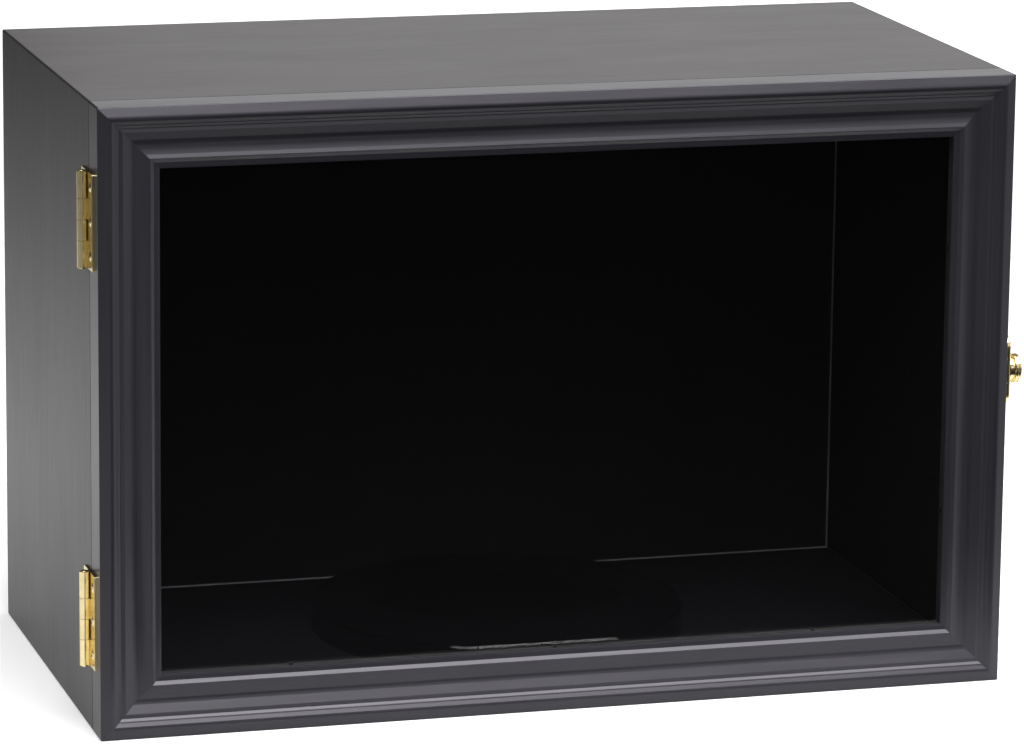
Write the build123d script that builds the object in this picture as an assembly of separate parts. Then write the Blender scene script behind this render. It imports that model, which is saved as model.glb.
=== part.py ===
from build123d import *
import os
from math import asin, cos, sin, sqrt

# Football display case: a lined cabinet with a glazed, hinged door and a clear stand inside.
# Millimetres. X runs to the right, Y to the back, Z up. The origin is the centre of the
# underside, so the case rests on the plane z = 0 and its door faces -Y.

os.makedirs("parts", exist_ok=True)

# ---- driving dimensions ----------------------------------------------------------------
WIDTH = 378.0            # outside, left to right
HEIGHT = 254.0           # outside, bottom to top
DEPTH = 200.0            # outside, door included
DOOR_THICKNESS = 17.6
DOOR_GAP = 0.6           # between the shut door and the cabinet

PANEL = 9.0              # cabinet panels
EDGE_RADIUS = 0.7        # softened outer arrises
BACK_THICKNESS = 3.0
BACK_RECESS = 8.0        # back panel's outer face to the rear rim
BACK_LEDGE = 5.0         # width of the rabbet that takes the back panel
LINER = 2.0
LINER_SETBACK = 1.0      # liners start this far behind the cabinet's front edge
LINER_CHAMFER = 0.45     # bevelled edges that show as fine lines in the corners
FIT = 0.2                # clearance round boards that drop into a recess
BACK_BRAD = {"head_radius": 1.4, "shank_radius": 0.6, "length": 12.0}
BACK_BRAD_COLUMNS = (-120.0, -40.0, 40.0, 120.0)    # along the top and bottom ledges
BACK_BRAD_ROWS = (-70.0, 0.0, 70.0)                 # up the side ledges, from mid-height
BRAD_HEAD = 0.5          # height of a brad's head

FRAME_FACE = 25.1        # outer edge of the door to the sight edge
SIGHT_DEPTH = 4.2        # depth of the sight edge behind the door's face
REBATE_FRONT = 5.6       # depth of the pane's front face behind the door's face
REBATE_WALL = 19.4       # outer edge of the door to the rebate's wall
PANE_THICKNESS = 2.0
STRIP = 5.0              # square strips that hold the pane
STRIP_ROUND = 1.2
STRIP_BRAD = {"head_radius": 0.9, "shank_radius": 0.45, "length": 11.0}
STRIP_BRAD_COLUMNS = (-110.0, 0.0, 110.0)
STRIP_BRAD_ROWS = (-55.0, 55.0)
V_NAIL = (4.2, 0.5, 10.0)        # leg, thickness, depth driven
V_NAIL_INSETS = (6.2, 13.4)      # from the door's corner, along both edges

BALL_LENGTH = 286.0      # full-size football, which sets the seat of the stand
BALL_RADIUS = 86.0
STAND_RADIUS = 78.0
STAND_HEIGHT = 11.0
STAND_FLAT = 63.0        # length of the straight front edge
STAND_FLOOR = 1.5        # thickness left under the dished seat
STAND_CHAMFER = 0.8

HINGE_HEIGHT = 38.6
HINGE_INSET = 46.5       # middle of each hinge to the top or bottom of the case
HINGE_OUTBOARD = 3.0     # pin axis outside the case's side
LEAF_WIDTH = 10.5
LEAF_THICKNESS = 1.0
LEAF_START = 0.45        # leaf edge to the plane of the pin axis
END_KNUCKLE = 10.9       # height of the outer two knuckles
KNUCKLE_RADIUS = 1.95
KNUCKLE_GAP = 0.16
PIN_RADIUS = 1.0
PIN_FIXED_FIT = 0.02     # radial, in the knuckles that hold the pin
PIN_RUNNING_FIT = 0.06   # radial, in the knuckles that turn on it
PIN_HEAD = (1.45, 0.4)   # radius, height of the peened ends
LEAF_CORNER = 0.8
CURL_ROOT = 2.9          # where the sheet leaves the leaf, from the plane of the pin axis
CURL_OUT = (1.5, 1.25)   # from the pin axis: towards the case, towards the leaf
CURL_END = 0.6
HINGE_SCREW_PITCH = 13.7
HINGE_SCREW_OFFSET = 6.4  # screw line to the plane of the pin axis
HINGE_SCREW = {"head_radius": 2.2, "sink": 1.2, "shank_radius": 1.0, "length": 8.0}
HINGE_SCREW_DOME = 0.55
WOOD_FIT = 0.03          # round fasteners, in wood
PLATE_FIT = 0.05         # round fasteners, in brass plates

LATCH_HEIGHT_RATIO = 0.514   # latch centre, as a part of the case's height
LATCH_BACK = 8.8         # pivot behind the door's face
LATCH_REACH = 16.9       # pivot to keeper stud
LATCH_PLATE = (10.4, 29.0, 2.4)    # width, height, thickness
LATCH_SCREW_PITCH = 21.0
LATCH_SCREW = {"head_radius": 2.7, "sink": 0, "shank_radius": 1.1, "length": 9.0}
LATCH_SCREW_DOME = 1.5
KEEPER_PLATE = (9.0, 22.0, 1.2)
KEEPER_SCREW_PITCH = 14.4
KEEPER_SCREW = {"head_radius": 2.2, "sink": 0, "shank_radius": 1.0, "length": 7.0}
KEEPER_SCREW_DOME = 1.2
PLATE_ROUND = 0.3        # rounding of a plate's rim, as a part of its thickness
HOOK_GAP = 0.2           # between plate and hook
HOOK_THICKNESS = 1.6
HOOK_EYE_RADIUS = 5.0
HOOK_TIP_RADIUS = 4.3
HOOK_ARM = (5.2, 0.6)    # width of the arm, and how far it sits above the pivot's line
HOOK_TIP_RISE = 0.3      # the tip's centre above the pivot's line
STUD_NECK = 1.5          # radius
STUD_HEAD = (2.8, 1.1)   # radius, height
STUD_FIT = 0.12
STUD_CLEARANCE = 0.4     # between the hook and the stud's head
KNOB_RADIUS = 6.1
KNOB_THICKNESS = 3.1
KNOB_ROUND = 0.9
KNOB_GROOVE = (0.15, 0.45)   # centre outside the knob's rim, radius
KNOB_SINK = (2.9, 0.9)   # radius, depth of the counterbore for the pivot screw's head
PIVOT_RADIUS = 1.5
PIVOT_FIT = 0.05
PIVOT_HEAD = (2.6, 1.2)  # radius, dome
PIVOT_IN_WOOD = 9.0

# Proportions of a cross-head wood screw.
SCREW_POINT = 1.4        # length of the point, in shank radii
CROSS = (1.1, 0.26)      # length, width of the recess, in head radii
CROSS_BELOW_RIM = 0.35   # depth of a countersunk head's recess below its rim
CROSS_IN_DOME = 0.75     # depth of a round head's recess, as a part of its dome

# ---- derived planes --------------------------------------------------------------------
FRONT = -DEPTH / 2
REAR = DEPTH / 2
DOOR_BACK = FRONT + DOOR_THICKNESS
CABINET_FRONT = DOOR_BACK + DOOR_GAP
BACK_OUTER = REAR - BACK_RECESS
BACK_INNER = BACK_OUTER - BACK_THICKNESS
SIDE = WIDTH / 2
INNER_SIDE = SIDE - PANEL
FLOOR = PANEL + LINER
AXIS_Y = (DOOR_BACK + CABINET_FRONT) / 2
AXIS_X = -SIDE - HINGE_OUTBOARD
LATCH_Y = FRONT + LATCH_BACK
LATCH_Z = HEIGHT * LATCH_HEIGHT_RATIO


def save(node, *solids):
    """Write one node: a single solid, or a group of separate ones."""
    shape = solids[0] if len(solids) == 1 else Compound(children=list(solids))
    export_step(shape, f"parts/{node}.step")


def block(x, y, z):
    """A box given by its low and high value along each axis."""
    centre = [(pair[0] + pair[1]) / 2 for pair in (x, y, z)]
    return Pos(*centre) * Box(x[1] - x[0], y[1] - y[0], z[1] - z[0])


def rod(start, direction, radius, length):
    """A cylinder from a start point along a direction."""
    plane = Plane(origin=start, z_dir=direction)
    return extrude(plane * Circle(radius), amount=length)


def mitre_prism(side, reach, y_low, y_high):
    """Everything that belongs to one member of a mitred frame, `reach` wide."""
    left, right, low, high = -SIDE, SIDE, 0.0, HEIGHT
    corners = {
        "bottom": [(left, low), (right, low), (right - reach, low + reach), (left + reach, low + reach)],
        "top": [(left, high), (left + reach, high - reach), (right - reach, high - reach), (right, high)],
        "left": [(left, low), (left + reach, low + reach), (left + reach, high - reach), (left, high)],
        "right": [(right, low), (right, high), (right - reach, high - reach), (right - reach, low + reach)],
    }[side]
    plane = Plane(origin=(0, y_high, 0), x_dir=(1, 0, 0), z_dir=(0, -1, 0))
    return extrude(plane * make_face(Polyline(*corners, close=True)), amount=y_high - y_low)


def softened_shell(y_low, y_high):
    """The case's outline between two depths, with its four long arrises softened."""
    shell = block((-SIDE, SIDE), (y_low, y_high), (0, HEIGHT))
    return fillet(shell.edges().filter_by(Axis.Y), EDGE_RADIUS)


# ---- fasteners -------------------------------------------------------------------------
def wood_screw(head_at, direction, head_radius, dome, sink, shank_radius, length):
    """A cross-head wood screw: domed head, countersunk part if sink isn't 0, shank and point.

    head_at is the centre of the surface that the head's rim is level with, and direction
    points into the wood.
    """
    crown = -dome
    point = shank_radius * SCREW_POINT
    profile = Polyline((0, length), (shank_radius, length - point), (shank_radius, sink), (head_radius, 0))
    ball = (head_radius ** 2 + dome ** 2) / (2 * dome)
    half_way = asin(head_radius / ball) / 2
    on_cap = (ball * sin(half_way), ball + crown - ball * cos(half_way))
    cap = ThreePointArc((head_radius, 0), on_cap, (0, crown))
    section = make_face(profile + cap + Line((0, crown), (0, length)))
    body = revolve(Plane.XZ * section, axis=Axis.Z)
    slot_long, slot_wide = (head_radius * share for share in CROSS)
    slot_deep = dome + CROSS_BELOW_RIM if sink else dome * CROSS_IN_DOME
    cross = Box(slot_long, slot_wide, slot_deep) + Box(slot_wide, slot_long, slot_deep)
    body -= Pos(0, 0, crown + slot_deep / 2) * cross
    return Plane(origin=head_at, z_dir=direction) * body


def screw_hole(head_at, direction, head_radius, sink, shank_radius, length, fit):
    """The countersunk hole that a wood screw goes in, with `fit` round it."""
    reach = sink + fit
    profile = Polyline(
        (0, length + fit), (shank_radius + fit, length + fit), (shank_radius + fit, reach),
        (head_radius + fit, 0), (head_radius + fit, -1.0), (0, -1.0), close=True)
    tool = revolve(Plane.XZ * make_face(profile), axis=Axis.Z)
    return Plane(origin=head_at, z_dir=direction) * tool


def brad(head_at, direction, head_radius, shank_radius, length):
    """A small nail with a flat head that stands just proud."""
    plane = Plane(origin=head_at, z_dir=direction)
    nail = extrude(plane * Circle(shank_radius), amount=length)
    return nail + extrude(plane * Circle(head_radius), amount=-BRAD_HEAD)


# ---- door frame ------------------------------------------------------------------------
def moulding_section():
    """The door moulding, as (distance in from the outer edge, depth behind the face).

    From the outer edge: a bevel that climbs to a round crest, a stepped slope, a narrow
    land, a cove with a long inner slope, a fine ridge, and a lip that steps down to the pane.
    """
    outline = Polyline((0, DOOR_THICKNESS), (0, 1.9))
    outline += ThreePointArc((0, 1.9), (0.12, 1.6), (0.4, 1.45))
    outline += Line((0.4, 1.45), (3.4, 0.22))
    outline += ThreePointArc((3.4, 0.22), (4.5, 0), (5.6, 0.3))
    outline += Polyline((5.6, 0.3), (7.0, 1.2), (7.5, 1.45), (8.5, 2.2), (8.8, 2.25), (10.2, 1.95),
                        (13.5, 3.85))
    outline += ThreePointArc((13.5, 3.85), (14.45, 4.23), (15.46, 4.36))
    outline += ThreePointArc((15.46, 4.36), (17.5, 4.145), (19.5, 3.49))
    outline += Polyline((19.5, 3.49), (20.9, 2.88), (21.3, 2.83), (22.7, 3.85), (24.0, 3.95), (24.4, 4.0),
                        (FRAME_FACE, SIGHT_DEPTH))
    outline += Polyline(
        (FRAME_FACE, SIGHT_DEPTH), (FRAME_FACE, REBATE_FRONT), (REBATE_WALL, REBATE_FRONT),
        (REBATE_WALL, DOOR_THICKNESS), (0, DOOR_THICKNESS))
    return make_face(outline)


def door_member(side):
    """One mitred length of the moulding, in its place on the door."""
    planes = {
        "bottom": Plane(origin=(-SIDE, FRONT, 0), x_dir=(0, 0, 1), z_dir=(1, 0, 0)),
        "top": Plane(origin=(-SIDE, FRONT, HEIGHT), x_dir=(0, 0, -1), z_dir=(1, 0, 0)),
        "left": Plane(origin=(-SIDE, FRONT, 0), x_dir=(1, 0, 0), z_dir=(0, 0, 1)),
        "right": Plane(origin=(SIDE, FRONT, 0), x_dir=(-1, 0, 0), z_dir=(0, 0, 1)),
    }
    length = WIDTH if side in ("bottom", "top") else HEIGHT
    plane = planes[side]
    # The section's second axis has to run to the back, +Y.
    section = moulding_section()
    if plane.y_dir.Y < 0:
        section = mirror(section, Plane.XZ)
    bar = extrude(plane * section, amount=length)
    return bar & mitre_prism(side, FRAME_FACE, FRONT, DOOR_BACK) & softened_shell(FRONT, DOOR_BACK)


def v_nails():
    """V-shaped frame nails, two in each mitre, driven in from the door's back."""
    leg, thickness, driven = V_NAIL
    nails = []
    for side in (-1, 1):
        for up in (-1, 1):
            for along in V_NAIL_INSETS:
                x = side * (SIDE - along)
                z = HEIGHT / 2 + up * (HEIGHT / 2 - along)
                wedge = Pos(-leg / 2, 0, 0) * Box(leg, driven, thickness)
                wedge += Pos(0, 0, -leg / 2) * Box(thickness, driven, leg)
                turn = {(-1, -1): 90, (1, -1): 180, (-1, 1): 0, (1, 1): 270}[(side, up)]
                nails.append(Pos(x, DOOR_BACK - driven / 2, z) * Rot(0, turn, 0) * wedge)
    return nails


def pane_strip(side):
    """One mitred strip behind the pane."""
    low = REBATE_WALL + FIT / 2
    y = (FRONT + REBATE_FRONT + PANE_THICKNESS, FRONT + REBATE_FRONT + PANE_THICKNESS + STRIP)
    outer = block((-SIDE + low, SIDE - low), y, (low, HEIGHT - low))
    inner = low + STRIP
    ring = outer - block((-SIDE + inner, SIDE - inner), y, (inner, HEIGHT - inner))
    strip = ring & mitre_prism(side, inner + 1.0, *y)
    rounded = strip.edges().filter_by(Axis.X if side in ("top", "bottom") else Axis.Z)
    nearest = rounded.sort_by(Axis.Y)[-2:]
    centre = Vector(0, y[1], HEIGHT / 2)
    exposed = min(nearest, key=lambda edge: (edge.center() - centre).length)
    return fillet(exposed, STRIP_ROUND)


def strip_brads():
    """Fine nails through the strips into the moulding, aimed outwards."""
    y = FRONT + REBATE_FRONT + PANE_THICKNESS + STRIP / 2
    reach = REBATE_WALL + FIT / 2 + STRIP
    nails = []
    for along in STRIP_BRAD_COLUMNS:
        nails.append(brad((along, y, reach), (0, 0, -1), **STRIP_BRAD))
        nails.append(brad((along, y, HEIGHT - reach), (0, 0, 1), **STRIP_BRAD))
    for up in STRIP_BRAD_ROWS:
        z = HEIGHT / 2 + up
        nails.append(brad((-SIDE + reach, y, z), (-1, 0, 0), **STRIP_BRAD))
        nails.append(brad((SIDE - reach, y, z), (1, 0, 0), **STRIP_BRAD))
    return nails


# ---- hinges ----------------------------------------------------------------------------
def knuckle_spans(middle):
    """Height ranges of a hinge's four knuckles, from the top down."""
    inner = (HINGE_HEIGHT - 2 * END_KNUCKLE) / 2
    spans, top = [], middle + HINGE_HEIGHT / 2
    for height in (END_KNUCKLE, inner, inner, END_KNUCKLE):
        spans.append((top - height + KNUCKLE_GAP / 2, top - KNUCKLE_GAP / 2))
        top -= height
    return spans


def hinge_screw_points(middle, toward):
    """Screw centres on one leaf; toward is -1 for the door and 1 for the cabinet."""
    y = AXIS_Y + toward * HINGE_SCREW_OFFSET
    return [(-SIDE - LEAF_THICKNESS, y, middle + step * HINGE_SCREW_PITCH) for step in (-1, 0, 1)]


def hinge_leaf(middle, toward):
    """A leaf with its two knuckles: the cabinet's leaf has the first and third."""
    low, high = middle - HINGE_HEIGHT / 2, middle + HINGE_HEIGHT / 2
    near, far = sorted((AXIS_Y + toward * LEAF_START, AXIS_Y + toward * LEAF_WIDTH))
    leaf = block((-SIDE - LEAF_THICKNESS, -SIDE), (near, far), (low, high))
    outer_edges = leaf.edges().filter_by(Axis.X).sort_by(Axis.Y)
    outer_edges = outer_edges[:2] if toward < 0 else outer_edges[-2:]
    leaf = fillet(outer_edges, LEAF_CORNER)
    bore = PIN_RADIUS + (PIN_FIXED_FIT if toward > 0 else PIN_RUNNING_FIT)
    own = knuckle_spans(middle)[0::2] if toward > 0 else knuckle_spans(middle)[1::2]
    for start, end in own:
        # The sheet curls up from the leaf and round the pin.
        root = AXIS_Y + toward * CURL_ROOT
        curl = [(-SIDE, AXIS_Y + toward * LEAF_START), (-SIDE, root), (-SIDE - LEAF_THICKNESS, root),
                (AXIS_X + CURL_OUT[0], AXIS_Y + toward * CURL_OUT[1]),
                (AXIS_X + CURL_END, AXIS_Y + toward * LEAF_START)]
        base = Plane(origin=(0, 0, start))
        leaf += extrude(base * make_face(Polyline(*curl, close=True)), amount=end - start)
        leaf += rod((AXIS_X, AXIS_Y, start), (0, 0, 1), KNUCKLE_RADIUS, end - start)
        leaf -= rod((AXIS_X, AXIS_Y, start), (0, 0, 1), bore, end - start)
    for point in hinge_screw_points(middle, toward):
        leaf -= screw_hole(point, (1, 0, 0), fit=PLATE_FIT, **HINGE_SCREW)
    return leaf


def hinge_pin(middle):
    """A plain pin with peened ends, held by the cabinet leaf's knuckles."""
    head_radius, head = PIN_HEAD
    low = middle - HINGE_HEIGHT / 2 + KNUCKLE_GAP / 2
    length = HINGE_HEIGHT - KNUCKLE_GAP
    pin = rod((AXIS_X, AXIS_Y, low), (0, 0, 1), PIN_RADIUS, length)
    for end, direction in ((low, -1), (low + length, 1)):
        peen = rod((AXIS_X, AXIS_Y, end), (0, 0, direction), head_radius, head)
        rim = peen.edges().filter_by(GeomType.CIRCLE).sort_by(Axis.Z)[0 if direction < 0 else -1]
        pin += fillet(rim, head * 0.6)
    return pin


# ---- latch -----------------------------------------------------------------------------
def side_plate(y, z, size):
    """A round-ended plate flat on the right side of the case."""
    width, height, thickness = size
    plane = Plane(origin=(SIDE, y, z), x_dir=(0, 0, 1), z_dir=(1, 0, 0))
    plate = extrude(plane * SlotOverall(height, width), amount=thickness)
    rim = plate.faces().sort_by(Axis.X)[-1].edges()
    return fillet(rim, thickness * PLATE_ROUND)


def pair_points(y, z, pitch, out):
    """Two screw centres, one above the other, `out` from the case's side."""
    return [(SIDE + out, y, z - pitch / 2), (SIDE + out, y, z + pitch / 2)]


def latch_hook():
    """The hook: an eye round the pivot, an arm, and a tip that drops over the stud."""
    inner_face = SIDE + LATCH_PLATE[2] + HOOK_GAP
    plane = Plane(origin=(inner_face, LATCH_Y, LATCH_Z), x_dir=(0, 1, 0), z_dir=(1, 0, 0))
    width, rise = HOOK_ARM
    arm = Pos(LATCH_REACH / 2, rise) * Rectangle(LATCH_REACH, width)
    outline = Circle(HOOK_EYE_RADIUS) + arm + Pos(LATCH_REACH, HOOK_TIP_RISE) * Circle(HOOK_TIP_RADIUS)
    # The mouth's walls are arcs about the pivot, so the hook lifts straight off the stud.
    neck = STUD_NECK + STUD_FIT
    far = 3 * LATCH_REACH
    sweep = make_face(Polyline((0, 0), (far, 0), (far, -far), close=True))
    mouth = (Circle(LATCH_REACH + neck) - Circle(LATCH_REACH - neck)) & sweep
    outline -= mouth
    outline -= Pos(LATCH_REACH, 0) * Circle(neck)
    outline -= Circle(PIVOT_RADIUS + PIVOT_FIT)
    return extrude(plane * outline, amount=HOOK_THICKNESS)


def latch_knob():
    """A turned knob on the hook's eye, counterbored for the pivot screw."""
    base = SIDE + LATCH_PLATE[2] + HOOK_GAP + HOOK_THICKNESS
    knob = rod((base, LATCH_Y, LATCH_Z), (1, 0, 0), KNOB_RADIUS, KNOB_THICKNESS)
    rims = knob.edges().filter_by(GeomType.CIRCLE)
    knob = fillet(rims, KNOB_ROUND)
    outside, groove_radius = KNOB_GROOVE
    waist = Plane(origin=(base + KNOB_THICKNESS / 2, LATCH_Y, LATCH_Z), z_dir=(1, 0, 0))
    knob -= waist * Torus(KNOB_RADIUS + outside, groove_radius)
    sink_radius, sink_depth = KNOB_SINK
    top = base + KNOB_THICKNESS
    knob -= rod((top, LATCH_Y, LATCH_Z), (-1, 0, 0), sink_radius, sink_depth)
    knob -= rod((base, LATCH_Y, LATCH_Z), (1, 0, 0), PIVOT_RADIUS + PIVOT_FIT, KNOB_THICKNESS)
    return knob


def pivot_screw():
    """The shouldered screw that the hook and knob turn on."""
    knob_top = SIDE + LATCH_PLATE[2] + HOOK_GAP + HOOK_THICKNESS + KNOB_THICKNESS
    seat = knob_top - KNOB_SINK[1] + PIVOT_FIT
    head_radius, dome = PIVOT_HEAD
    length = seat - SIDE + PIVOT_IN_WOOD
    return wood_screw((seat, LATCH_Y, LATCH_Z), (-1, 0, 0), head_radius, dome, 0, PIVOT_RADIUS, length)


def keeper_stud():
    """A headed stud riveted in the keeper plate, under which the hook's tip sits."""
    y = LATCH_Y + LATCH_REACH
    head_radius, head = STUD_HEAD
    neck = LATCH_PLATE[2] + HOOK_GAP + HOOK_THICKNESS + STUD_CLEARANCE
    stud = rod((SIDE, y, LATCH_Z), (1, 0, 0), STUD_NECK, neck)
    cap = rod((SIDE + neck, y, LATCH_Z), (1, 0, 0), head_radius, head)
    rim = cap.edges().filter_by(GeomType.CIRCLE).sort_by(Axis.X)[-1]
    return stud + fillet(rim, head * 0.7)


# ---- build: cabinet --------------------------------------------------------------------
hinge_middles = {"lower": HINGE_INSET, "upper": HEIGHT - HINGE_INSET}
latch_points = pair_points(LATCH_Y, LATCH_Z, LATCH_SCREW_PITCH, LATCH_PLATE[2])
keeper_y = LATCH_Y + LATCH_REACH
keeper_points = pair_points(keeper_y, LATCH_Z, KEEPER_SCREW_PITCH, KEEPER_PLATE[2])

carcass = softened_shell(CABINET_FRONT, REAR)
carcass -= block((-INNER_SIDE, INNER_SIDE), (CABINET_FRONT, REAR), (PANEL, HEIGHT - PANEL))
rabbet_x = INNER_SIDE + BACK_LEDGE
rabbet_z = PANEL - BACK_LEDGE
carcass -= block((-rabbet_x, rabbet_x), (BACK_INNER, REAR), (rabbet_z, HEIGHT - rabbet_z))

cabinet_hinge_screws = []
for middle in hinge_middles.values():
    for point in hinge_screw_points(middle, 1):
        cabinet_hinge_screws.append(wood_screw(point, (1, 0, 0), dome=HINGE_SCREW_DOME, **HINGE_SCREW))
        carcass -= screw_hole(point, (1, 0, 0), fit=WOOD_FIT, **HINGE_SCREW)
keeper_screws = []
for point in keeper_points:
    keeper_screws.append(wood_screw(point, (-1, 0, 0), dome=KEEPER_SCREW_DOME, **KEEPER_SCREW))
    carcass -= rod(point, (-1, 0, 0), KEEPER_SCREW["shank_radius"] + WOOD_FIT, KEEPER_SCREW["length"])

panel_x, panel_z = rabbet_x - FIT, rabbet_z + FIT
back_panel = block((-panel_x, panel_x), (BACK_INNER, BACK_OUTER), (panel_z, HEIGHT - panel_z))
back_brads = []
ledge_x, ledge_z = INNER_SIDE + BACK_LEDGE / 2, PANEL - BACK_LEDGE / 2
for x in BACK_BRAD_COLUMNS:
    for z in (ledge_z, HEIGHT - ledge_z):
        back_brads.append(brad((x, BACK_OUTER, z), (0, -1, 0), **BACK_BRAD))
for x in (-ledge_x, ledge_x):
    for up in BACK_BRAD_ROWS:
        back_brads.append(brad((x, BACK_OUTER, HEIGHT / 2 + up), (0, -1, 0), **BACK_BRAD))
for nail in back_brads:
    carcass -= nail
    back_panel -= nail

for side, name in (("top", "cabinet_top"), ("bottom", "cabinet_bottom"),
                   ("left", "cabinet_left_side"), ("right", "cabinet_right_side")):
    save(name, carcass & mitre_prism(side, PANEL, CABINET_FRONT, REAR))
save("back_panel", back_panel)
save("back_panel_brads", *back_brads)
save("cabinet_hinge_screws", *cabinet_hinge_screws)
save("keeper_screws", *keeper_screws)

# ---- build: lining and stand -----------------------------------------------------------
liner_front = CABINET_FRONT + LINER_SETBACK
liner_rear = BACK_INNER - LINER


def bevelled(board, pick):
    """Bevel the edges that show in the corners of the lining."""
    return chamfer(pick(board.edges()), LINER_CHAMFER)


floor_board = block((-INNER_SIDE, INNER_SIDE), (liner_front, liner_rear), (PANEL, FLOOR))
save("liner_bottom", bevelled(floor_board, lambda edges: edges.filter_by(Axis.X).group_by(Axis.Z)[-1]))
roof_board = block((-INNER_SIDE, INNER_SIDE), (liner_front, liner_rear), (HEIGHT - FLOOR, HEIGHT - PANEL))
save("liner_top", bevelled(roof_board, lambda edges: edges.filter_by(Axis.X).group_by(Axis.Z)[0]))
left_board = block((-INNER_SIDE, -INNER_SIDE + LINER), (liner_front, liner_rear), (FLOOR, HEIGHT - FLOOR))
save("liner_left", bevelled(left_board, lambda edges: left_board.faces().sort_by(Axis.X)[-1].edges()))
right_board = block((INNER_SIDE - LINER, INNER_SIDE), (liner_front, liner_rear), (FLOOR, HEIGHT - FLOOR))
save("liner_right", bevelled(right_board, lambda edges: right_board.faces().sort_by(Axis.X)[0].edges()))
save("liner_back", block((-INNER_SIDE, INNER_SIDE), (liner_rear, BACK_INNER), (PANEL, HEIGHT - PANEL)))

stand_y = (FRONT + REBATE_FRONT + PANE_THICKNESS + liner_rear) / 2
flat_offset = sqrt(STAND_RADIUS ** 2 - (STAND_FLAT / 2) ** 2)
disc = Pos(0, stand_y, FLOOR + STAND_HEIGHT / 2) * Cylinder(STAND_RADIUS, STAND_HEIGHT)
disc &= block((-STAND_RADIUS, STAND_RADIUS), (stand_y - flat_offset, stand_y + STAND_RADIUS),
              (FLOOR, FLOOR + STAND_HEIGHT))
disc = chamfer(disc.faces().sort_by(Axis.Z)[-1].edges(), STAND_CHAMFER)
# The seat is the underside of a lens-shaped ball lying along X.
half = BALL_LENGTH / 2
lens = make_face(ThreePointArc((-half, 0), (0, BALL_RADIUS), (half, 0)) + Line((half, 0), (-half, 0)))
ball = revolve(lens, axis=Axis.X)
disc -= Pos(0, stand_y, FLOOR + STAND_FLOOR + BALL_RADIUS) * ball
save("football_stand", disc)

# ---- build: door -----------------------------------------------------------------------
rails = {side: door_member(side) for side in ("top", "bottom", "left", "right")}
nails = v_nails()
for nail in nails:
    for side in rails:
        rails[side] -= nail
strips = {side: pane_strip(side) for side in rails}
strip_nails = strip_brads()
for nail in strip_nails:
    for side in rails:
        rails[side] -= nail
        strips[side] -= nail
door_hinge_screws = []
for middle in hinge_middles.values():
    for point in hinge_screw_points(middle, -1):
        door_hinge_screws.append(wood_screw(point, (1, 0, 0), dome=HINGE_SCREW_DOME, **HINGE_SCREW))
        rails["left"] -= screw_hole(point, (1, 0, 0), fit=WOOD_FIT, **HINGE_SCREW)
latch_screws = []
for point in latch_points:
    latch_screws.append(wood_screw(point, (-1, 0, 0), dome=LATCH_SCREW_DOME, **LATCH_SCREW))
    rails["right"] -= rod(point, (-1, 0, 0), LATCH_SCREW["shank_radius"] + WOOD_FIT, LATCH_SCREW["length"])
pivot = pivot_screw()
rails["right"] -= rod((SIDE, LATCH_Y, LATCH_Z), (-1, 0, 0), PIVOT_RADIUS + WOOD_FIT, PIVOT_IN_WOOD + FIT / 2)

save("door_top_rail", rails["top"])
save("door_bottom_rail", rails["bottom"])
save("door_left_stile", rails["left"])
save("door_right_stile", rails["right"])
save("mitre_v_nails", *nails)
for side, strip in strips.items():
    save(f"pane_strip_{side}", strip)
save("pane_strip_brads", *strip_nails)
pane_edge = REBATE_WALL + FIT
pane_y = (FRONT + REBATE_FRONT, FRONT + REBATE_FRONT + PANE_THICKNESS)
save("door_pane", block((-SIDE + pane_edge, SIDE - pane_edge), pane_y, (pane_edge, HEIGHT - pane_edge)))
save("door_hinge_screws", *door_hinge_screws)

# ---- build: hinges ---------------------------------------------------------------------
for name, middle in hinge_middles.items():
    save(f"{name}_hinge_cabinet_leaf", hinge_leaf(middle, 1))
    save(f"{name}_hinge_door_leaf", hinge_leaf(middle, -1))
    save(f"{name}_hinge_pin", hinge_pin(middle))

# ---- build: latch ----------------------------------------------------------------------
latch_plate = side_plate(LATCH_Y, LATCH_Z, LATCH_PLATE)
for point in latch_points:
    latch_plate -= rod(point, (-1, 0, 0), LATCH_SCREW["shank_radius"] + PLATE_FIT, LATCH_PLATE[2])
latch_plate -= rod((SIDE, LATCH_Y, LATCH_Z), (1, 0, 0), PIVOT_RADIUS + WOOD_FIT, LATCH_PLATE[2])
keeper = side_plate(keeper_y, LATCH_Z, KEEPER_PLATE)
for point in keeper_points:
    keeper -= rod(point, (-1, 0, 0), KEEPER_SCREW["shank_radius"] + PLATE_FIT, KEEPER_PLATE[2])
keeper -= rod((SIDE, keeper_y, LATCH_Z), (1, 0, 0), STUD_NECK + PIN_FIXED_FIT, KEEPER_PLATE[2])
save("latch_plate", latch_plate)
save("latch_plate_screws", *latch_screws)
save("latch_pivot_screw", pivot)
save("latch_hook", latch_hook())
save("latch_knob", latch_knob())
save("keeper_plate", keeper)
save("keeper_stud", keeper_stud())
save("keeper_screws", *keeper_screws)
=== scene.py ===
import math

import bpy
from mathutils import Matrix, Vector


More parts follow.
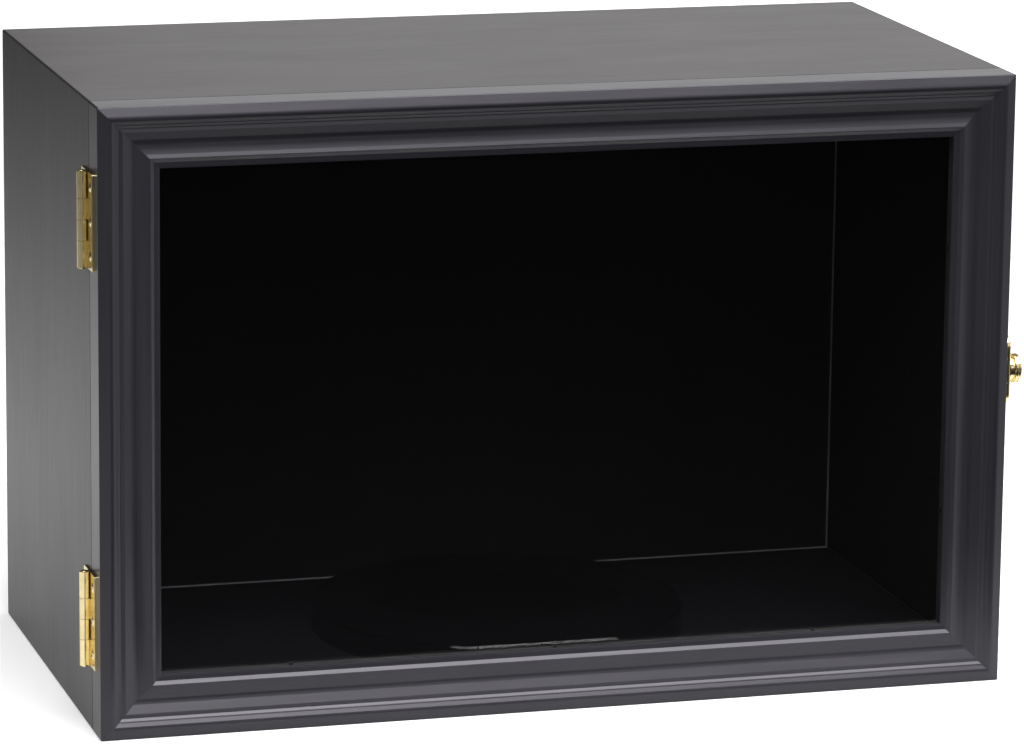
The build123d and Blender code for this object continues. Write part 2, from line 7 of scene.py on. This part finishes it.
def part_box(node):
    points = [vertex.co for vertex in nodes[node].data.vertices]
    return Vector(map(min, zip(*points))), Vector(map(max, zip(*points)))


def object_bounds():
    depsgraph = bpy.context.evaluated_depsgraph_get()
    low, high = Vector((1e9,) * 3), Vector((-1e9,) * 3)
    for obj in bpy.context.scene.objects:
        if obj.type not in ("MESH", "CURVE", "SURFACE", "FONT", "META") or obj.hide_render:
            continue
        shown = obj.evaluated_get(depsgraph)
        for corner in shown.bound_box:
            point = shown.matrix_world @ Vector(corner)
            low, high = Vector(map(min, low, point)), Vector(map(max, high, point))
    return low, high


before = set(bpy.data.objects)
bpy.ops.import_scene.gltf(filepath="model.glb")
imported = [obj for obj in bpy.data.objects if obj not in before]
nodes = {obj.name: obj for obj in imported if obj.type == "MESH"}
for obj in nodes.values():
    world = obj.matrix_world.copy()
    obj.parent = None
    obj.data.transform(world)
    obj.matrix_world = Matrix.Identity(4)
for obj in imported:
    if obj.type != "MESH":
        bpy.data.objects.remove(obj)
cad_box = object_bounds()

# ---- camera: the photograph's viewpoint -------------------------------------------------
SENSOR = 36.0
IMAGE_WIDTH = 1024
FOCAL_PIXELS = 5365.3
CAMERA_AT = Vector((-0.595, -2.102, 0.607))
CLIP_END = 50
YAW, PITCH, ROLL = math.radians(15.97), math.radians(12.60), math.radians(0.63)

forward = Vector((math.sin(YAW) * math.cos(PITCH), math.cos(YAW) * math.cos(PITCH), -math.sin(PITCH)))
level = forward.cross(Vector((0, 0, 1))).normalized()
up = level.cross(forward)
right = math.cos(ROLL) * level + math.sin(ROLL) * up
up = math.cos(ROLL) * up - math.sin(ROLL) * level
turn = Matrix((right, up, -forward)).transposed()
camera_data = bpy.data.cameras.new("camera")
camera_data.sensor_width = SENSOR
camera_data.lens = FOCAL_PIXELS * SENSOR / IMAGE_WIDTH
camera_data.clip_end = CLIP_END
camera = bpy.data.objects.new("camera", camera_data)
bpy.context.collection.objects.link(camera)
camera.matrix_world = Matrix.Translation(CAMERA_AT) @ turn.to_4x4()
bpy.context.scene.camera = camera

# ---- node helpers -----------------------------------------------------------------------
X, Z = 0, 2
GREY_RANGE = (0.3, 0.7)
MIX_FIRST, MIX_SECOND, MIX_RESULT = 6, 7, 2


class Tree:
    """A material's node tree with short ways to add and join nodes."""

    def __init__(self, name):
        self.material = bpy.data.materials.new(name)
        self.material.use_nodes = True
        self.tree = self.material.node_tree
        self.shader = self.tree.nodes["Principled BSDF"]
        self.output = self.tree.nodes["Material Output"]

    def join(self, value, socket):
        if isinstance(value, bpy.types.NodeSocket):
            self.tree.links.new(value, socket)
        else:
            socket.default_value = value

    def add(self, kind, inputs=None, out=0, **settings):
        node = self.tree.nodes.new(kind)
        for key, value in settings.items():
            setattr(node, key, value)
        for key, value in (inputs or {}).items():
            self.join(value, node.inputs[key])
        return node.outputs[out]

    def place(self, scale):
        """Object coordinates, in metres, stretched by scale along each axis."""
        where = self.add("ShaderNodeTexCoord", out="Object")
        return self.add("ShaderNodeMapping", {"Vector": where, "Scale": scale})

    def noise(self, scale, detail, roughness, stretch=(1, 1, 1)):
        return self.add("ShaderNodeTexNoise", {
            "Vector": self.place(stretch), "Scale": scale, "Detail": detail, "Roughness": roughness})

    def spread(self, value, low, high, source=GREY_RANGE):
        """value, moved from its source range to low..high."""
        return self.add("ShaderNodeMapRange", {
            "Value": value, "From Min": source[0], "From Max": source[1], "To Min": low, "To Max": high})

    def blend(self, factor, first, second):
        node = self.tree.nodes.new("ShaderNodeMix")
        node.data_type = "RGBA"
        self.join(factor, node.inputs["Factor"])
        self.join(first, node.inputs[MIX_FIRST])
        self.join(second, node.inputs[MIX_SECOND])
        return node.outputs[MIX_RESULT]

    def math(self, operation, first, second):
        return self.add("ShaderNodeMath", {0: first, 1: second}, operation=operation)

    def split(self, vector):
        """The three components of a vector."""
        node = self.tree.nodes.new("ShaderNodeSeparateXYZ")
        self.join(vector, node.inputs[0])
        return node.outputs

    def bump(self, height, strength, distance, normal=None):
        inputs = {"Height": height, "Strength": strength, "Distance": distance}
        if normal is not None:
            inputs["Normal"] = normal
        return self.add("ShaderNodeBump", inputs)

    def set(self, **values):
        for key, value in values.items():
            self.join(value, self.shader.inputs[key.replace("_", " ")])


def stretched(run, along):
    """Noise stretch for a grain that runs along the axis run."""
    return tuple(along if axis == run else 1.0 for axis in range(3))


def rgba(red, green, blue):
    return (red, green, blue, 1.0)


# ---- materials --------------------------------------------------------------------------
SEAM_HALF = 0.0006    # half the width of a painted highlight line along a seam in the lining
BEVEL_LIMIT = 0.9     # a face is a bevel when the largest part of its normal is under this


def satin_black(name, run, tone, sheen_tint, satin):
    """Satin black lacquer: a faint grain along the run, soft clouds and a little orange peel."""
    t = Tree(name)
    grain = t.noise(scale=1300, detail=4, roughness=0.6, stretch=stretched(run, 0.02))
    cloud = t.noise(scale=11, detail=2, roughness=0.5)
    dark, light, fleck = (rgba(*(channel * share for channel in tone)) for share in (0.85, 1.15, 1.8))
    tint = t.blend(t.spread(cloud, 0, 1), dark, light)
    t.set(Base_Color=t.blend(t.spread(grain, 0, 0.3), tint, fleck))
    smear = t.noise(scale=50, detail=3, roughness=0.6, stretch=stretched(run, 0.3))
    rough = t.math("ADD", t.spread(smear, satin - 0.01, satin + 0.01), t.spread(grain, -0.03, 0.03))
    peel = t.noise(scale=800, detail=2, roughness=0.5)
    normal = t.bump(grain, strength=0.2, distance=0.00003)
    t.set(Roughness=rough, Normal=t.bump(peel, strength=0.15, distance=0.00003, normal=normal), IOR=1.5)
    t.set(Specular_Tint=rgba(*sheen_tint))
    return t.material


def lining(name, seams=()):
    """Dull black card with a short nap; its bevels and thin lines along the seams are painted grey as a
    highlight.

    A seam is an axis and the place on it where a neighbouring board meets this one.
    """
    t = Tree(name)
    nap = t.noise(scale=2600, detail=3, roughness=0.7)
    patch = t.noise(scale=25, detail=3, roughness=0.6)
    dark, light = rgba(0.0028, 0.0028, 0.0038), rgba(0.0040, 0.0040, 0.0052)
    fibre = rgba(0.0062, 0.0062, 0.0074)
    bevel_painted_highlight, seam_painted_highlight = rgba(0.26, 0.26, 0.27), rgba(0.13, 0.13, 0.135)
    tone = t.blend(t.spread(nap, 0, 0.5), t.blend(t.spread(patch, 0, 1), dark, light), fibre)
    facing = t.add("ShaderNodeNewGeometry", out="True Normal")
    across = t.split(t.add("ShaderNodeVectorMath", {0: facing}, operation="ABSOLUTE"))
    largest = t.math("MAXIMUM", t.math("MAXIMUM", across[0], across[1]), across[2])
    # Bevel faces are painted grey: a painted highlight where the board edges would catch light.
    tone = t.blend(t.math("LESS_THAN", largest, BEVEL_LIMIT), tone, bevel_painted_highlight)
    where = t.split(t.add("ShaderNodeTexCoord", out="Object"))
    # Each seam gets a thin grey line: a painted highlight of the board edges at the joint.
    for axis, place in seams:
        apart = t.math("ABSOLUTE", t.math("SUBTRACT", where[axis], place), 0)
        tone = t.blend(t.math("LESS_THAN", apart, SEAM_HALF), tone, seam_painted_highlight)
    t.set(Base_Color=tone, Roughness=t.spread(nap, 0.8, 0.95))
    t.set(Normal=t.bump(nap, strength=0.2, distance=0.00003), IOR=1.12, Specular_IOR_Level=0.15)
    return t.material


def hardboard(name):
    """Pressed fibre board, stained black."""
    t = Tree(name)
    fibre = t.noise(scale=900, detail=5, roughness=0.7, stretch=(1, 1, 0.35))
    felted = t.noise(scale=170, detail=4, roughness=0.65)
    dark, light, fleck = rgba(0.010, 0.0095, 0.009), rgba(0.018, 0.0165, 0.0155), rgba(0.034, 0.030, 0.027)
    t.set(Base_Color=t.blend(t.spread(fibre, 0, 0.6), t.blend(t.spread(felted, 0, 1), dark, light), fleck))
    t.set(Roughness=t.spread(fibre, 0.6, 0.78), Normal=t.bump(fibre, strength=0.5, distance=0.0001), IOR=1.4)
    return t.material


def bare_strip(name, run):
    """Black stained strips behind the pane."""
    t = Tree(name)
    grain = t.noise(scale=1200, detail=4, roughness=0.65, stretch=stretched(run, 0.03))
    dark, light = rgba(0.006, 0.006, 0.0065), rgba(0.016, 0.0155, 0.0155)
    t.set(Base_Color=t.blend(t.spread(grain, 0, 1), dark, light))
    t.set(Roughness=t.spread(grain, 0.55, 0.7), Normal=t.bump(grain, strength=0.4, distance=0.00006))
    return t.material


def brass(name):
    """Polished, lacquered brass with fine upright rubbing marks and a faint darkening."""
    t = Tree(name)
    rub = t.noise(scale=2400, detail=3, roughness=0.6, stretch=stretched(Z, 0.06))
    tarnish = t.noise(scale=260, detail=4, roughness=0.6)
    bright, dull = rgba(0.97, 0.84, 0.50), rgba(0.85, 0.69, 0.35)
    t.set(Base_Color=t.blend(t.spread(tarnish, 0.0, 0.75), bright, dull), Metallic=1.0)
    rough = t.math("ADD", t.spread(tarnish, 0.14, 0.26), t.spread(rub, -0.03, 0.04))
    t.set(Roughness=rough, Normal=t.bump(rub, strength=0.12, distance=0.00002))
    return t.material


def steel(name, bright, dull):
    """Drawn steel wire, slightly dulled."""
    t = Tree(name)
    spot = t.noise(scale=900, detail=4, roughness=0.6)
    t.set(Base_Color=t.blend(t.spread(spot, 0, 1), rgba(*bright), rgba(*dull)), Metallic=1.0)
    t.set(Roughness=t.spread(spot, 0.3, 0.5), Normal=t.bump(spot, strength=0.2, distance=0.00002))
    return t.material


def acrylic(name, rough_low, rough_high, shine=0.5):
    """Clear acrylic that lets lamps through. A shine of 0.5 is real acrylic's; less is held down."""
    t = Tree(name)
    haze = t.noise(scale=35, detail=3, roughness=0.6)
    t.set(Base_Color=rgba(0.985, 0.99, 0.988), Specular_IOR_Level=shine, Transmission_Weight=1.0, IOR=1.49)
    t.set(Roughness=t.spread(haze, rough_low, rough_high))
    clear = t.add("ShaderNodeBsdfTransparent", {"Color": rgba(0.95, 0.955, 0.953)})
    shadow = t.add("ShaderNodeLightPath", out="Is Shadow Ray")
    mixed = t.add("ShaderNodeMixShader", {0: shadow, 1: t.shader.outputs[0], 2: clear})
    t.join(mixed, t.output.inputs["Surface"])
    return t.material


# Each lacquer is its tone, the tint of its sheen and its roughness.
PANEL = {"tone": (0.0176, 0.0151, 0.0153), "sheen_tint": (1.0, 0.95, 0.96), "satin": 0.39}
MOULDING = {"tone": (0.0145, 0.0140, 0.0178), "sheen_tint": (0.95, 0.92, 1.0), "satin": 0.325}
panel_x = satin_black("panel_along_x", X, **PANEL)
panel_z = satin_black("panel_along_z", Z, **PANEL)
moulding_x = satin_black("moulding_rail", X, **MOULDING)
moulding_z = satin_black("moulding_stile", Z, **MOULDING)
strip_x, strip_z = bare_strip("pane_strip_rail", X), bare_strip("pane_strip_stile", Z)
black_lining = lining("black_lining")
back_lining = lining("back_lining", [
    (X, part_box("liner_left")[1].x), (X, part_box("liner_right")[0].x),
    (Z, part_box("liner_bottom")[1].z), (Z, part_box("liner_top")[0].z)])
polished = brass("polished_brass")
wire = steel("steel_wire", bright=(0.42, 0.42, 0.43), dull=(0.26, 0.25, 0.25))
blackened_wire = steel("blackened_wire", bright=(0.03, 0.03, 0.032), dull=(0.012, 0.012, 0.012))

finishes = {
    "cabinet_top": panel_x,
    "cabinet_bottom": panel_x,
    "cabinet_left_side": panel_z,
    "cabinet_right_side": panel_z,
    "back_panel": hardboard("black_hardboard"),
    "back_panel_brads": wire,
    "football_stand": acrylic("stand_acrylic", rough_low=0.015, rough_high=0.05),
    "door_top_rail": moulding_x,
    "door_bottom_rail": moulding_x,
    "door_left_stile": moulding_z,
    "door_right_stile": moulding_z,
    "door_pane": acrylic("pane_acrylic", rough_low=0.0, rough_high=0.015, shine=0.3),
    "pane_strip_top": strip_x,
    "pane_strip_bottom": strip_x,
    "pane_strip_left": strip_z,
    "pane_strip_right": strip_z,
    "pane_strip_brads": blackened_wire,
    "mitre_v_nails": wire,
    "liner_top": black_lining,
    "liner_bottom": black_lining,
    "liner_left": black_lining,
    "liner_right": black_lining,
    "liner_back": back_lining,
}
for name, node in nodes.items():
    for slot in node.material_slots:
        slot.material = finishes.get(name, polished)

# ---- stage: floor, surroundings and lamps -----------------------------------------------
FLOOR_REACH = 2.5               # beyond the case on every side
FLOOR_TONE, FLOOR_GLOW = 0.88, 0.36
HORIZON_REACH = (0.7, 1.7)      # distances where the floor begins and ends turning white
LANE_SLANTS = (0.15, 0.39)      # of the dark lane's left and right edge, sideways per metre forward
LANE_LEFT, LANE_RIGHT, LANE_NEAR = (-0.27, -0.21), (0.26, 0.60), (-0.086, -0.074)
# Reflections see the floor's share fall from the first to the second over these distances.
FALL_CENTRE, FALL_REACH, FALL_RANGE = (0.1, 0.45, 0), (0.2, 1.45), (0.88, 0.12)
SKY = (0.06, 0.06, 0.0624)
low, high = cad_box


def pale_floor():
    """A floor that the camera sees as plain and pale, running into white without an edge.

    Reflections and bounced light see another floor, which no real one could be: black in a lane
    in front of the door, so that the pane stays black, and darker away from the case.
    """
    t = Tree("pale_floor")
    where = t.place((1, 1, 1))
    across = t.split(where)
    ahead = t.math("SUBTRACT", across[1], low.y)
    left_lane, right_lane = (t.math("ADD", across[0], t.math("MULTIPLY", ahead, slant))
                             for slant in LANE_SLANTS)
    beside = t.math("MAXIMUM", t.spread(left_lane, 1, 0, LANE_LEFT), t.spread(right_lane, 0, 1, LANE_RIGHT))
    near = t.spread(ahead, 0, 1, LANE_NEAR)
    away = t.add("ShaderNodeVectorMath", {0: where, 1: FALL_CENTRE}, operation="DISTANCE", out="Value")
    lit = t.math("MULTIPLY", t.math("MAXIMUM", beside, near), t.spread(away, *FALL_RANGE, FALL_REACH))
    camera_ray = t.add("ShaderNodeLightPath", out="Is Camera Ray")
    seen = t.math("MAXIMUM", lit, camera_ray)
    horizon = t.math("MULTIPLY", camera_ray, t.spread(away, 0, 1, HORIZON_REACH))
    t.set(Base_Color=t.blend(seen, rgba(0, 0, 0), rgba(FLOOR_TONE, FLOOR_TONE, FLOOR_TONE)),
          Roughness=0.8, IOR=1.2, Emission_Color=rgba(1, 1, 1),
          Emission_Strength=t.math("ADD", t.math("MULTIPLY", seen, FLOOR_GLOW), horizon))
    return t.material


sides = (low.x - FLOOR_REACH, high.x + FLOOR_REACH)
front, rear = low.y - FLOOR_REACH, high.y + FLOOR_REACH
corners = [(x, front, low.z) for x in sides] + [(x, rear, low.z) for x in reversed(sides)]
floor_mesh = bpy.data.meshes.new("floor")
floor_mesh.from_pydata(corners, [], [range(len(corners))])
floor = bpy.data.objects.new("floor", floor_mesh)
bpy.context.collection.objects.link(floor)
floor_mesh.materials.append(pale_floor())


def studio_world():
    """White surroundings for the camera and a nearly black room for everything else."""
    world = bpy.data.worlds.new("studio")
    bpy.context.scene.world = world
    world.use_nodes = True
    sky = world.node_tree
    room = sky.nodes["Background"]
    room.inputs["Color"].default_value = rgba(*SKY)
    white = sky.nodes.new("ShaderNodeBackground")
    white.inputs["Color"].default_value = rgba(1, 1, 1)
    ray = sky.nodes.new("ShaderNodeLightPath")
    pick = sky.nodes.new("ShaderNodeMixShader")
    sky.links.new(ray.outputs["Is Camera Ray"], pick.inputs[0])
    sky.links.new(room.outputs[0], pick.inputs[1])
    sky.links.new(white.outputs[0], pick.inputs[2])
    sky.links.new(pick.outputs[0], sky.nodes["World Output"].inputs["Surface"])


def softbox(name, at, aim, size, radiance):
    """A rectangular soft lamp, with its strength given as the brightness of its face."""
    data = bpy.data.lights.new(name, "AREA")
    data.shape = "RECTANGLE"
    data.size, data.size_y = size
    data.energy = radiance * math.pi * size[0] * size[1]
    lamp = bpy.data.objects.new(name, data)
    bpy.context.collection.objects.link(lamp)
    lamp.location = at
    lamp.rotation_mode = "QUATERNION"
    lamp.rotation_quaternion = (Vector(aim) - Vector(at)).to_track_quat("-Z", "Y")
    lamp.visible_camera = False


studio_world()
softbox("overhead", at=(0.1, -0.35, 1.5), aim=(0.0, -0.05, 0.1), size=(1.9, 1.3), radiance=4.4)
softbox("high_front", at=(0.32, -0.89, 1.29), aim=(0, -0.1, 0.05), size=(1.7, 0.45), radiance=9.5)
softbox("right", at=(1.9, -0.7, 0.8), aim=(0, 0, 0.12), size=(1.2, 1.2), radiance=1.9)
softbox("back", at=(1.62, 2.4, 0.75), aim=(0.05, 0, 0.2), size=(3.0, 1.5), radiance=1.02)
softbox("front", at=(0.9, -2.6, 1.15), aim=(0, 0, 0.12), size=(2.2, 0.9), radiance=0.9)
softbox("left", at=(-2.1, -0.5, 0.1), aim=(0, 0, 0.12), size=(1.4, 1.2), radiance=0.55)

bpy.context.scene.view_settings.view_transform = "Standard"
